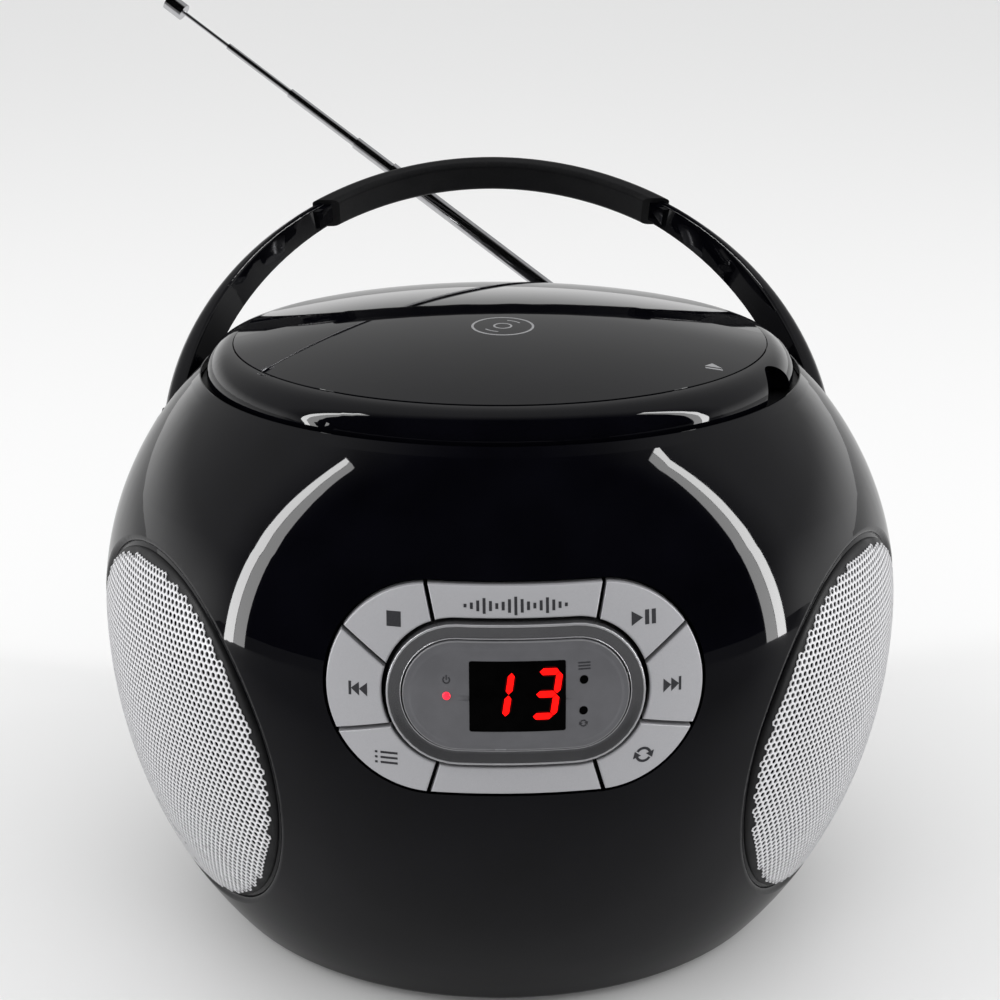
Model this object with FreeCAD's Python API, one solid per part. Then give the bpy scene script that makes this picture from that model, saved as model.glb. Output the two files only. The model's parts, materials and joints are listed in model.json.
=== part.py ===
"""Ball-shaped CD boombox.

Everything is modelled in millimetres about the centre of the ball (X right, -Y front, Z up)
and lifted by CENTRE_HEIGHT when it is written, so the row origin is the middle of the foot plane.
"""

import FreeCAD, Part
import math
import os

V = FreeCAD.Vector
X_AXIS = V(1, 0, 0)
Y_AXIS = V(0, 1, 0)
Z_AXIS = V(0, 0, 1)

# ---------------------------------------------------------------- driving dimensions
CENTRE_HEIGHT = 86.5      # ball centre above the foot plane
BALL_R = 110.0            # largest body radius, at the equator
UPPER_C = 95.8            # semi-height of the upper superellipse
UPPER_N = 2.04            # its exponent
LOWER_C = 122.6           # semi-height of the lower superellipse
LOWER_N = 2.05            # its exponent
BASE_Z = -84.4            # flat underside of the shells
TOP_Z = 65.6              # flat rim round the lid
WALL = 2.6                # shell thickness
BASE_ROUND = 5.0          # rounded lower edge
SEAM_Y = 1.0              # joint plane between the front and rear shells
SEAM_GAP = 0.1            # half the width of the seam line

RIM_R = 80.9              # opening in the top of the shells
LID_R = 79.3              # outer edge of the lid ring
DISC_R = 72.0             # glossy centre disc of the lid
DISC_EDGE_Z = 73.2        # top of the disc's edge
DOME_RISE = 8.0           # how far the disc's centre stands above its edge
DISC_THICK = 2.2
LID_LOW_Z = 64.4          # lower edge of the lid ring
SCOOP_ANGLE = -26.5       # finger scoop in the lid ring, from +X
SCOOP_R = 10.5
SCOOP_IN = 74.0           # radius of the scoop's back wall
SCOOP_Z = 61.8            # its centre
HINGE_Y = 81.2            # lid hinge axis
HINGE_Z = 63.6
HINGE_X = 20.0            # centre of each hinge knuckle
CD_R = 61.5               # radius of the disc well
DECK_Z = 57.0             # floor of the disc well
DISC_PLANE_Z = 60.5       # underside of a loaded disc

SPEAKER_AZIMUTH = 59.0    # degrees from the front, each side
SPEAKER_TILT = -10.0      # degrees below the horizon
GRILLE_R = 47.4
GRILLE_GAP = 1.2          # dark gap round each grille
GRILLE_ROUND = 0.8        # rolled rim of the grille
GRILLE_THICK = 1.1
OPENING_ROUND = 1.5       # rounded edge of the shell round the gap
BAFFLE_AT = 84.0          # distance of the baffle from the ball centre
CONE_HOLE_R = 35.0        # hole in the baffle
BAFFLE_R = 50.2           # outer radius of the ring behind the grille
BAFFLE_LIP = 2.0          # how far the ring reaches in under the grille
BAFFLE_DROP = 1.35        # top of the ring below the ball's surface

PANEL_Z = 14.3            # centre of the front panel
PANEL_W = 44.0            # half width of the key racetrack
PANEL_H = 24.3            # half height
BEZEL_W = 30.1            # half width of the display bezel
BEZEL_H = 16.4
WINDOW_W = 26.7           # half width of the smoked window
WINDOW_H = 12.7
BEZEL_PROUD = 0.9         # bezel stands this far outside the ball
KEY_GAP = 0.5             # half the gap between neighbouring keys
KEY_PROUD = 0.6           # keys stand this far outside the ball
KEY_TRAVEL = 0.8          # how far a key can be pressed
SWITCH_Y = -92.2          # tips of the switches behind the keys
KEY_DEEP = 2.6            # key cap thickness
EDGE_ROUND = 0.4          # rounded edges of keys, trims and bezel
LED_SPOTS = ((-16.1, 0.4), (15.5, 3.8), (15.4, -3.4))      # power, program and repeat lamps

HANDLE_Y = 8.0            # handle pivot axis
HANDLE_Z = 45.0
HANDLE_LEAN = 55.0        # degrees back from upright at rest
HANDLE_DEPTH = 11.0       # width of the strap
ARCH_A, ARCH_B = 93.5, 103.8      # outer arch semi-axes
FRONT_A, FRONT_B = 88.2, 103.4    # inner edge, front face of the arms
REAR_A, REAR_B = 85.5, 104.5      # inner edge, rear face of the arms
GRIP_A, GRIP_B = 87.5, 99.5       # inner edge of the grip
GRIP_FROM = 84.6                  # arch height where the grip starts
ARM_ROUND = 4.0                   # front outer edge of the arms
GRIP_ROUND = 1.5                  # edges of the grip
POCKET_IN = 81.6                  # inner wall of the handle pocket
POCKET_OUT = 94.4                 # outer wall of the handle pocket

ANT_X, ANT_Y, ANT_Z = 62.0, 85.0, 34.8     # antenna tilt axis
ANT_TIP = V(-96.5, 136.0, 147.8)           # where the tip stands at rest
TUBE_R = (2.4, 1.95, 1.5, 1.05, 0.6)       # telescope sections, outermost first
TUBE_WALL = 0.38
TUBE_TOP = (118.0, 132.3, 159.0, 184.0, 202.0)   # where each section's top stands at rest
TUBE_LEN = (106.0, 104.0, 102.0, 98.0, 94.0)

BACK_Y = 100.0            # flat control panel at the back
BACK_W, BACK_H = 46.0, 21.0       # half width and half height of the back panel
BACK_Z = 4.0              # its centre
KNOB_X = 31.0             # knobs, each side of its centre
KNOB_R = 8.6
JACK_X = -22.0            # headphone socket
JACK_BORE = 1.8
BAY = (52.0, 41.0, 27.0)  # half width, half depth and height of the battery bay
BAY_Y = -8.0
FOOT_R = 66.5
FOOT_ANGLES = (-25, 53, 127, 205)          # round the base, from +X
SCREW_R = 68.3
SCREW_ANGLES = (12, 75, 105, 168, 250, 290)


# ---------------------------------------------------------------- basic shapes
def save(name, shape):
    """Write one node, lifted to the row frame."""
    solids = shape.Solids
    out = solids[0] if len(solids) == 1 else Part.makeCompound(solids)
    out = out.copy()
    out.translate(V(0, 0, CENTRE_HEIGHT))
    out.exportStep("parts/" + name + ".step")
    print(name, len(solids), round(sum(s.Volume for s in solids), 1), all(s.isValid() for s in solids))


def rod(r, length, at, along=Z_AXIS):
    return Part.makeCylinder(r, length, at, along)


def tube(r_out, r_in, length, at, along=Z_AXIS):
    return rod(r_out, length, at, along).cut(rod(r_in, length, at, along))


def block(x0, x1, y0, y1, z0, z1):
    return Part.makeBox(x1 - x0, y1 - y0, z1 - z0, V(x0, y0, z0))


def soft_block(x0, x1, y0, y1, z0, z1, r):
    """A block with all its edges rounded."""
    b = block(x0, x1, y0, y1, z0, z1)
    return b.makeFillet(r, b.Edges)


def fused(shapes):
    out = shapes[0]
    if len(shapes) > 1:
        out = out.multiFuse(shapes[1:])
    return out.removeSplitter()


def mirrored(shape):
    return shape.mirror(V(0, 0, 0), X_AXIS)


def ball_radius(z, off=0.0):
    """Radius of the body at height z, for a surface moved outwards by off."""
    c, n = (UPPER_C, UPPER_N) if z >= 0 else (LOWER_C, LOWER_N)
    return (BALL_R + off) * (1 - (abs(z) / (c + off)) ** n) ** (1 / n)


def ball(off=0.0, low=BASE_Z, high=TOP_Z):
    """The body as a solid, its wall moved outwards by off, cut flat at low and high."""
    steps = 26
    heights = [low + (high - low) * i / steps for i in range(steps + 1)]
    curve = Part.BSplineCurve()
    curve.interpolate([V(ball_radius(z, off), 0, z) for z in heights])
    edges = [
        Part.makeLine(V(0, 0, low), V(ball_radius(low, off), 0, low)),
        curve.toShape(),
        Part.makeLine(V(ball_radius(high, off), 0, high), V(0, 0, high)),
        Part.makeLine(V(0, 0, high), V(0, 0, low)),
    ]
    return Part.Face(Part.Wire(edges)).revolve(V(0, 0, 0), Z_AXIS, 360)


def points_along(edge):
    span = edge.LastParameter - edge.FirstParameter
    return [edge.valueAt(edge.FirstParameter + span * k / 4) for k in range(5)]


def surface_edges(shape, off):
    """Edges that lie on the body's surface moved outwards by off."""
    found = []
    for edge in shape.Edges:
        if all(abs(math.hypot(p.x, p.y) - ball_radius(p.z, off)) < 0.02 for p in points_along(edge)):
            found.append(edge)
    return found


def rounded_front(shape, off):
    return shape.makeFillet(EDGE_ROUND, surface_edges(shape, off))


def round_rim(shape, side, r, size):
    """Round the outer edge, of radius r about a speaker's axis, of a grille or of its opening."""
    axis = speaker_axis(side)
    rim = []
    for edge in surface_edges(shape, 0.0):
        if all(abs(p.cross(axis).Length - r) < 0.05 for p in points_along(edge)):
            rim.append(edge)
    return shape.makeFillet(size, rim)


def racetrack(w, h, y0, y1, z=PANEL_Z):
    """A stadium of half width w and half height h, run along Y."""
    mid = block(-(w - h), w - h, y0, y1, z - h, z + h)
    ends = [rod(h, y1 - y0, V(x, y0, z), Y_AXIS) for x in (-(w - h), w - h)]
    return fused([mid] + ends)


def speaker_axis(side):
    """The way a speaker faces, -1 for the left one and +1 for the right one."""
    az, el = math.radians(SPEAKER_AZIMUTH), math.radians(SPEAKER_TILT)
    return V(side * math.sin(az) * math.cos(el), -math.cos(az) * math.cos(el), math.sin(el))


def aimed(shape, side):
    """Turn a shape built along +Z to a speaker's axis."""
    out = shape.copy()
    out.Placement = FreeCAD.Placement(V(0, 0, 0), FreeCAD.Rotation(Z_AXIS, speaker_axis(side)))
    return out


def gear(teeth, module, width, bore, at, along, phase=0.0):
    """A spur gear with straight-sided teeth."""
    pitch = teeth * module / 2
    root, tip = pitch - 1.15 * module, pitch + 0.85 * module
    step = 2 * math.pi / teeth
    points = []
    for i in range(teeth):
        a = i * step + phase
        for r, share in ((root, -0.34), (tip, -0.10), (tip, 0.10), (root, 0.34)):
            points.append(V(r * math.cos(a + share * step), r * math.sin(a + share * step), 0))
    face = Part.Face(Part.makePolygon(points + points[:1]))
    out = face.extrude(V(0, 0, width)).cut(rod(bore, width, V(0, 0, 0)))
    out.Placement = FreeCAD.Placement(at, FreeCAD.Rotation(Z_AXIS, along))
    return out


# ---------------------------------------------------------------- handle
def handle_place(shape):
    """Lean a shape built upright about the pivot to its rest pose."""
    out = shape.copy()
    out.rotate(V(0, 0, 0), X_AXIS, -HANDLE_LEAN)
    out.translate(V(0, HANDLE_Y, HANDLE_Z))
    return out


def ellipse_wire(a, b, y):
    if a >= b:
        e = Part.Ellipse(V(a, y, 0), V(0, y, b), V(0, y, 0))
    else:
        e = Part.Ellipse(V(0, y, b), V(a, y, 0), V(0, y, 0))
    return Part.Wire([e.toShape()])


def ellipse_prism(a, b, y0, y1):
    return Part.Face(ellipse_wire(a, b, y0)).extrude(V(0, y1 - y0, 0))


def arm_hole():
    """The space inside the arms, wider at the front face (-Y) than at the rear."""
    h = HANDLE_DEPTH / 2
    return Part.makeLoft([ellipse_wire(FRONT_A, FRONT_B, -h), ellipse_wire(REAR_A, REAR_B, h)], True)


def round_along(shape, r, y, outside):
    """Round the long edges in the plane at y, on the arch's outer or inner side."""
    edges = []
    for edge in shape.Edges:
        box = edge.BoundBox
        if box.YLength > 0.01 or abs(box.YMin - y) > 0.01 or edge.Length < 20:
            continue
        middle = edge.valueAt((edge.FirstParameter + edge.LastParameter) / 2)
        on_arch = abs(math.hypot(middle.x / ARCH_A, middle.z / ARCH_B) - 1) < 0.002
        if on_arch == outside:
            edges.append(edge)
    return shape.makeFillet(r, edges)


def make_handle():
    h = HANDLE_DEPTH / 2
    outer = ellipse_prism(ARCH_A, ARCH_B, -h, h)
    low = block(-100, 100, -h, h, 0, GRIP_FROM)
    arms = round_along(outer.cut(arm_hole()).common(low), ARM_ROUND, -h, True)
    arms = round_along(arms, 1.0, h, True)
    arms = round_along(arms, 0.8, -h, False)
    core = ellipse_prism(ARCH_A - 1.4, ARCH_B - 1.3, -3.6, 3.6)
    core = core.cut(ellipse_prism(GRIP_A + 1.4, GRIP_B + 1.3, -3.6, 3.6))
    core = core.common(block(-100, 100, -h, h, GRIP_FROM - 3, ARCH_B))
    bosses = [rod(6.5, 8.5, V(85.0, 0, 0), X_AXIS), rod(6.5, 8.5, V(-93.5, 0, 0), X_AXIS)]
    frame = fused([arms, core] + bosses)
    bore = rod(2.56, 200, V(-100, 0, 0), X_AXIS)
    frame = frame.cut(bore)
    grip = outer.cut(ellipse_prism(GRIP_A, GRIP_B, -h, h))
    grip = grip.common(block(-100, 100, -h, h, GRIP_FROM, ARCH_B))
    for y in (-h, h):
        for outside in (True, False):
            grip = round_along(grip, GRIP_ROUND, y, outside)
    grip = grip.cut(core)
    save("handle_frame", handle_place(frame))
    save("handle_grip", handle_place(grip))
    at = V(0, HANDLE_Y, HANDLE_Z)
    pin = rod(2.5, 15.6, at + V(80.2, 0, 0), X_AXIS)
    save("handle_pivots", Part.makeCompound([pin, mirrored(pin)]))


def pocket(margin):
    """The space one handle end sweeps between upright and its back stop, grown by margin."""
    h = HANDLE_DEPTH / 2 + 0.8 + margin
    lean = math.radians(HANDLE_LEAN)
    along = V(0, math.sin(lean), math.cos(lean))
    below = V(0, math.cos(lean), -math.sin(lean)) * h
    x0 = POCKET_IN - margin
    length = POCKET_OUT + margin - x0
    tall = 60.0
    tail = below + along * tall
    outline = [V(0, -h, 0), V(0, -h, tall), V(0, tail.y, tall), V(0, tail.y, tail.z), below]
    face = Part.Face(Part.makePolygon(outline + outline[:1]))
    sweep = face.extrude(V(length, 0, 0))
    out = sweep.fuse(rod(7.3 + margin, length, V(0, 0, 0), X_AXIS))
    out.translate(V(x0, HANDLE_Y, HANDLE_Z))
    keep = block(0, 130, SEAM_Y + SEAM_GAP, 90, -90, 90)
    return out.common(keep)


# ---------------------------------------------------------------- shells
def half(front):
    if front:
        return block(-130, 130, -130, SEAM_Y - SEAM_GAP, -100, 100)
    return block(-130, 130, SEAM_Y + SEAM_GAP, 130, -100, 100)


def rim_lip():
    """The upright lip round the lid opening."""
    ring = tube(RIM_R + 2.5, RIM_R, 9.6, V(0, 0, TOP_Z - 9.6))
    return ring.common(ball())


def hollow_ball():
    body = ball()
    foot = [e for e in body.Edges if e.BoundBox.ZMax < BASE_Z + 0.1 and e.Length > 400]
    body = body.makeFillet(BASE_ROUND, foot)
    shell = body.cut(ball(-WALL, BASE_Z + 2.4, TOP_Z - WALL))
    shell = shell.cut(rod(RIM_R, 30, V(0, 0, TOP_Z - 12)))
    shell = shell.cut(rod(76.0, 5, V(0, 0, BASE_Z - 2)))
    return fused([shell, rim_lip()])


def baffle(side):
    """Ring and plate behind one grille, which carry the driver."""
    wall = tube(BAFFLE_R, GRILLE_R - BAFFLE_LIP, 40, V(0, 0, BAFFLE_AT))
    plate = tube(BAFFLE_R, CONE_HOLE_R, 2.4, V(0, 0, BAFFLE_AT))
    return aimed(fused([wall, plate]), side).common(ball(-BAFFLE_DROP))


def grille_hole(side, r):
    return aimed(rod(r, 60, V(0, 0, BAFFLE_AT)), side)


def make_front_shell(shell):
    front = shell.common(half(True))
    pocket_wall = racetrack(PANEL_W + 2.6, PANEL_H + 2.6, -125, -91).common(ball(-1.0))
    front = front.fuse(pocket_wall)
    front = front.cut(racetrack(PANEL_W + 0.9, PANEL_H + 0.9, -125, -80))
    for side in (-1, 1):
        front = front.cut(grille_hole(side, GRILLE_R + GRILLE_GAP))
        front = round_rim(front, side, GRILLE_R + GRILLE_GAP, OPENING_ROUND).fuse(baffle(side))
    save("front_shell", front.removeSplitter())


def back_recess(margin, y0, y1):
    w, h = BACK_W + margin, BACK_H + margin
    return racetrack(w, h, y0, y1, BACK_Z)


def make_rear_shell(shell):
    rear = shell.common(half(False))
    boss = rod(9.4, 50, V(ANT_X, ANT_Y, 14)).common(ball(-0.3))
    recess_wall = back_recess(2.2, BACK_Y - 8, 120).common(ball(-0.8))
    liners = [pocket(1.5).common(ball(-0.4)), mirrored(pocket(1.5).common(ball(-0.4)))]
    rear = rear.multiFuse([boss, recess_wall] + liners)
    rear = rear.cut(rod(RIM_R, 12, V(0, 0, TOP_Z - 9)))
    for side in (pocket(0), mirrored(pocket(0))):
        rear = rear.cut(side)
    rear = rear.cut(back_recess(0.0, BACK_Y - 10, 125))
    rear = rear.cut(rod(2.55, 40, V(ANT_X, ANT_Y, 12))).cut(rod(7.2, 40, V(ANT_X, ANT_Y, 29.0)))
    for lower in (0.0, 9.0):
        rear = rear.cut(antenna_groove(lower))
    for s in (-1, 1):
        rear = rear.cut(rod(4.0, 13, V(s * HINGE_X - 6.5, HINGE_Y, HINGE_Z), X_AXIS))
        rear = rear.cut(rod(1.5, 28, V(s * HINGE_X - 14, HINGE_Y, HINGE_Z), X_AXIS))
        x = s * HINGE_X
        rear = rear.cut(block(x - 5.5, x + 5.5, 74, HINGE_Y, HINGE_Z - 1.0, TOP_Z + 1))
        rear = rear.cut(rod(2.5, 18, V(s * 87 - 9, HANDLE_Y, HANDLE_Z), X_AXIS))
    rear = rear.cut(block(-13.6, 13.6, 80, 118, -61.6, -44.4))
    save("rear_shell", rear.removeSplitter())


def make_base():
    plate = rod(75.7, 2.4, V(0, 0, BASE_Z))
    lip = tube(75.7, 73.3, 5.5, V(0, 0, BASE_Z))
    hx, hy, _ = BAY
    hole = block(-hx - 1.2, hx + 1.2, BAY_Y - hy - 1.2, BAY_Y + hy + 1.2, BASE_Z - 5, BASE_Z + 9)
    base = fused([plate, lip]).cut(hole)
    screws, feet = [], []
    for angle in FOOT_ANGLES:
        a = math.radians(angle)
        at = V(FOOT_R * math.cos(a), FOOT_R * math.sin(a), BASE_Z)
        feet.append(rod(6.5, 2.9, at + V(0, 0, -2.1)))
    for angle in SCREW_ANGLES:
        b = math.radians(angle)
        spot = V(SCREW_R * math.cos(b), SCREW_R * math.sin(b), BASE_Z)
        screws.append(fused([rod(2.6, 1.4, spot + V(0, 0, 0.4)), rod(1.4, 9, spot + V(0, 0, 1.8))]))
    for piece in feet + screws:
        base = base.cut(piece)
    save("base_cover", base)
    save("rubber_feet", Part.makeCompound(feet))
    save("case_screws", Part.makeCompound(screws))


def make_battery_bay():
    hx, hy, tall = BAY
    z0, z1 = BASE_Z + 2.4, BASE_Z + 2.4 + tall
    y0, y1 = BAY_Y - hy, BAY_Y + hy
    outer = block(-hx - 1.2, hx + 1.2, y0 - 1.2, y1 + 1.2, z0 - 2.4, z1 + 1.8)
    inner = block(-hx, hx, y0, y1, z0 - 2.4, z1)
    ribs = []
    for k in (1, 2):
        y = y0 + k * 2 * hy / 3
        ribs.append(block(-hx, hx, y - 0.6, y + 0.6, z1 - 6, z1))
    tray = fused([outer.cut(inner)] + ribs)
    hinge_y = y0 + 1.6
    for s in (-1, 1):
        tray = tray.cut(rod(1.3, 1.4, V(s * (hx + 0.1) - 0.7, hinge_y, BASE_Z + 1.3), X_AXIS))
    save("battery_tray", tray)
    door = block(-hx + 0.4, hx - 0.4, y0 + 1.6, y1 - 0.4, BASE_Z, BASE_Z + 2.0)
    roll = rod(1.3, 2 * hx - 0.8, V(-hx + 0.4, hinge_y, BASE_Z + 1.3), X_AXIS)
    pins = [rod(1.0, 1.0, V(s * hx - 0.5, hinge_y, BASE_Z + 1.3), X_AXIS) for s in (-1, 1)]
    catch = block(-7, 7, y1 - 2.2, y1 - 0.4, BASE_Z + 2.0, BASE_Z + 7.5)
    grip = rod(3.0, 12, V(-6, y1 - 6.5, BASE_Z - 1.5), X_AXIS)
    door = fused([door, roll, catch] + pins).cut(grip)
    save("battery_door", door)
    contacts = []
    for k in range(3):
        y = y0 + (2 * k + 1) * hy / 3
        for s in (-1, 1):
            plate = block(-0.3, 0.3, y - 6, y + 6, z1 - 18, z1 - 4)
            coil = rod(3.4, 3.0, V(-1.5 - s * 1.8, y, z1 - 11), X_AXIS)
            shift = V(s * (hx - 0.3), 0, 0)
            piece = fused([plate, coil])
            piece.translate(shift)
            contacts.append(piece)
    save("battery_contacts", Part.makeCompound(contacts))


# ---------------------------------------------------------------- top deck and lid
def make_deck():
    top = DECK_Z + 6.2
    cup = rod(CD_R + 2.0, top - DECK_Z + 2.0, V(0, 0, DECK_Z - 2.0))
    flange = rod(RIM_R - 0.2, 2.0, V(0, 0, top - 2.0))
    deck = fused([cup, flange]).cut(rod(CD_R, 20, V(0, 0, DECK_Z)))
    deck = deck.cut(rod(17.0, 20, V(0, 0, DECK_Z - 5)))
    deck = deck.cut(block(0, 57, -11, 11, DECK_Z - 5, DECK_Z + 1))
    for s in (-1, 1):
        deck = deck.cut(rod(4.0, 32, V(s * HINGE_X - 16, HINGE_Y, HINGE_Z), X_AXIS))
    deck = deck.cut(block(-5, 5, -76.6, -72.4, top - 6, top + 1))
    spring = block(-4.4, 4.4, -77.6, -76.4, top - 7, top - 2.0)
    save("cd_deck", fused([deck, spring]))


def arc_edge(p, q, s):
    return Part.Arc(V(p[0], 0, p[1]), V(q[0], 0, q[1]), V(s[0], 0, s[1])).toShape()


def line_edge(p, q):
    return Part.makeLine(V(p[0], 0, p[1]), V(q[0], 0, q[1]))


def spin(edges):
    return Part.Face(Part.Wire(edges)).revolve(V(0, 0, 0), Z_AXIS, 360)


def dome(drop, r, low):
    """A round plug under the dome's sphere, which is lowered by drop."""
    dome_r = (DISC_R ** 2 + DOME_RISE ** 2) / (2 * DOME_RISE)
    centre = V(0, 0, DISC_EDGE_Z + DOME_RISE - dome_r - drop)
    return rod(r, 40, V(0, 0, low)).common(Part.makeSphere(dome_r, centre, X_AXIS))


def lid_disc_shape():
    rim = DISC_R - 0.2
    return dome(0.0, rim, 50.0).cut(dome(DISC_THICK, rim + 1, 40.0))


def lid_ring_shape():
    seat = DISC_EDGE_Z - DISC_THICK - 0.05
    low = LID_LOW_Z
    mid = (76.9, 71.0)
    outer = [
        line_edge((66.5, seat - 1.8), (66.5, seat)),
        line_edge((66.5, seat), (DISC_R + 0.1, seat)),
        line_edge((DISC_R + 0.1, seat), (DISC_R + 0.1, DISC_EDGE_Z - 0.2)),
        arc_edge((DISC_R + 0.1, DISC_EDGE_Z - 0.2), mid, (LID_R, 66.2)),
        line_edge((LID_R, 66.2), (LID_R, low)),
        line_edge((LID_R, low), (LID_R - 2.0, low)),
        arc_edge((LID_R - 2.0, low), (75.3, 68.2), (71.4, seat - 1.8)),
        line_edge((71.4, seat - 1.8), (66.5, seat - 1.8)),
    ]
    return spin(outer)


def make_lid():
    ring = lid_ring_shape()
    scoop_at = math.radians(SCOOP_ANGLE)
    out = V(math.cos(scoop_at), math.sin(scoop_at), 0)
    low = V(0, 0, SCOOP_Z)
    scoop = rod(SCOOP_R, 12, out * SCOOP_IN + low, out)
    wall = rod(SCOOP_R + 1.6, 12, out * (SCOOP_IN - 1.8) + low, out).common(ring_fill())
    ring = fused([ring.cut(scoop), wall.cut(scoop)])
    pieces = [ring]
    for s in (-1, 1):
        knuckle = rod(2.9, 9.0, V(s * HINGE_X - 4.5, HINGE_Y, HINGE_Z), X_AXIS)
        arm = block(s * HINGE_X - 4.5, s * HINGE_X + 4.5, 74.5, HINGE_Y, 64.6, HINGE_Z + 2.9)
        pieces.append(knuckle)
        pieces.append(arm)
    hook = fused([block(-4, 4, -75.2, -74.0, 58.0, 68.5), block(-4, 4, -75.3, -73.4, 58.0, 59.2)])
    ring = fused(pieces + [hook])
    for s in (-1, 1):
        ring = ring.cut(rod(1.55, 12, V(s * HINGE_X - 6, HINGE_Y, HINGE_Z), X_AXIS))
    save("lid_ring", ring)
    save("lid_disc", lid_disc_shape())
    clamp = fused([rod(15.0, 3.0, V(0, 0, 62.4)), rod(11.0, 16.5, V(0, 0, 62.4))])
    save("disc_clamp", clamp.common(dome(DISC_THICK + 0.02, 20, 50)).cut(rod(8.4, 6, V(0, 0, 60))))
    pins = [rod(1.5, 24, V(s * HINGE_X - 12, HINGE_Y, HINGE_Z), X_AXIS) for s in (-1, 1)]
    save("lid_hinge_pins", Part.makeCompound(pins))


def ring_fill():
    """The band under the ring's outer slope, used to close the finger scoop from below."""
    low = LID_LOW_Z
    return spin([
        line_edge((71.0, 69.0), (76.9, 70.6)),
        line_edge((76.9, 70.6), (LID_R, 66.2)),
        line_edge((LID_R, 66.2), (LID_R, low)),
        line_edge((LID_R, low), (71.0, low)),
        line_edge((71.0, low), (71.0, 69.0)),
    ])


# ---------------------------------------------------------------- disc mechanism
SLED_X = 34.0             # pickup's rest place along its rods
ROD_Y = 13.5              # guide rods, each side of the pickup
ROD_Z = 50.0
GEAR_TEETH, PINION_TEETH, MODULE = 30, 10, 0.6


def make_mechanism():
    plate = block(-34, 58, -34, 34, 38.0, 40.0)
    plate = plate.cut(block(16, 52, -16, 10, 37, 41)).cut(rod(2.0, 5, V(0, 0, 37)))
    lugs = []
    for y in (-ROD_Y, ROD_Y):
        for x in (14.0, 55.5):
            lug = block(x - 1.5, x + 1.5, y - 3, y + 3, 40.0, ROD_Z + 3)
            lugs.append(lug.cut(rod(1.5, 5, V(x - 2, y, ROD_Z), X_AXIS)))
    rods = [rod(1.5, 44.5, V(12.5, y, ROD_Z), X_AXIS) for y in (-ROD_Y, ROD_Y)]
    save("cd_chassis", fused([plate] + lugs + rods))
    dampers = []
    for x in (-30, 54):
        for y in (-30, 30):
            dampers.append(rod(4.0, 3.6, V(x, y, 34.4)))
            dampers.append(rod(4.0, DECK_Z - 2.0 - 40.0, V(x, y, 40.0)))
    save("chassis_dampers", Part.makeCompound(dampers))
    motor = tube(9.5, 1.06, 8.0, V(0, 0, 40.0))
    save("spindle_motor", motor)
    shaft = rod(1.0, 18.0, V(0, 0, 40.5))
    seat = V(0, 0, DISC_PLANE_Z - 2.0)
    table = fused([shaft, rod(14.5, 2.0, seat), rod(7.3, 3.6, seat)])
    nose = Part.makeCone(7.3, 6.2, 1.2, V(0, 0, DISC_PLANE_Z + 1.6))
    hub = rod(3.0, 8.0, V(0, 0, DISC_PLANE_Z - 9.5))
    save("turntable", fused([table, nose, hub]))
    make_sled()


def make_sled():
    body = block(SLED_X - 9, SLED_X + 9, -ROD_Y - 3, ROD_Y + 3, ROD_Z - 2.6, ROD_Z + 2.6)
    lens = rod(3.6, 3.2, V(SLED_X, 0, ROD_Z + 2.6))
    rack_y = -ROD_Y - 3.0
    pitch = math.pi * MODULE
    teeth = []
    for i in range(-4, 5):
        x = SLED_X + i * pitch
        points = [(-0.34, 0), (-0.10, -1.2), (0.10, -1.2), (0.34, 0)]
        outline = [V(x + a * pitch, rack_y + b, ROD_Z - 2.6) for a, b in points]
        teeth.append(Part.Face(Part.makePolygon(outline + outline[:1])).extrude(V(0, 0, 2.4)))
    sled = fused([body, lens] + teeth)
    for y in (-ROD_Y, ROD_Y):
        sled = sled.cut(rod(1.55, 40, V(SLED_X - 20, y, ROD_Z), X_AXIS))
    save("optical_sled", sled)


# ---------------------------------------------------------------- speakers
def make_speakers():
    cap = ball(0.0).cut(ball(-GRILLE_THICK))
    for side, name in ((-1, "left"), (1, "right")):
        grille = cap.common(grille_hole(side, GRILLE_R))
        save("speaker_grille_" + name, round_rim(grille, side, GRILLE_R, GRILLE_ROUND))
        z = BAFFLE_AT
        flange = tube(40.0, 35.2, 2.0, V(0, 0, z - 2.0))
        basket = Part.makeCone(24.0, 37.0, 18.0, V(0, 0, z - 20.0))
        basket = basket.cut(Part.makeCone(22.4, 35.4, 18.0, V(0, 0, z - 20.0)))
        magnet = rod(24.0, 12.0, V(0, 0, z - 32.0))
        frame = fused([flange, basket, magnet])
        save("speaker_frame_" + name, aimed(frame, side))
        cone = Part.makeCone(9.0, 31.0, 15.0, V(0, 0, z - 17.5))
        cone = cone.cut(Part.makeCone(7.6, 30.0, 15.0, V(0, 0, z - 17.0)))
        coil = rod(8.6, 3.6, V(0, 0, z - 19.5))
        surround = tube(34.0, 29.8, 1.2, V(0, 0, z - 3.2))
        save("speaker_cone_" + name, aimed(fused([cone, coil, surround]), side))


# ---------------------------------------------------------------- front panel
DIVIDERS = (
    ((40.4, 13.8), (29.6, 5.7)),
    ((39.8, -10.3), (29.0, -7.9)),
    ((20.2, -23.5), (18.4, -17.3)),
    ((20.6, 24.2), (18.6, 14.9)),
)


def slot_between(p, q):
    """A thin slab that parts two neighbouring keys, run on past both ends."""
    dx, dz = q[0] - p[0], q[1] - p[1]
    size = math.hypot(dx, dz)
    ux, uz = dx / size, dz / size
    wx, wz = -uz * KEY_GAP, ux * KEY_GAP
    a = (p[0] - 9 * ux, p[1] - 9 * uz)
    b = (q[0] + 5 * ux, q[1] + 5 * uz)
    ends = [(a[0] + wx, a[1] + wz), (b[0] + wx, b[1] + wz), (b[0] - wx, b[1] - wz), (a[0] - wx, a[1] - wz)]
    points = [V(x, -125, PANEL_Z + z) for x, z in ends]
    return Part.Face(Part.makePolygon(points + points[:1])).extrude(V(0, 40, 0))


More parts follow.
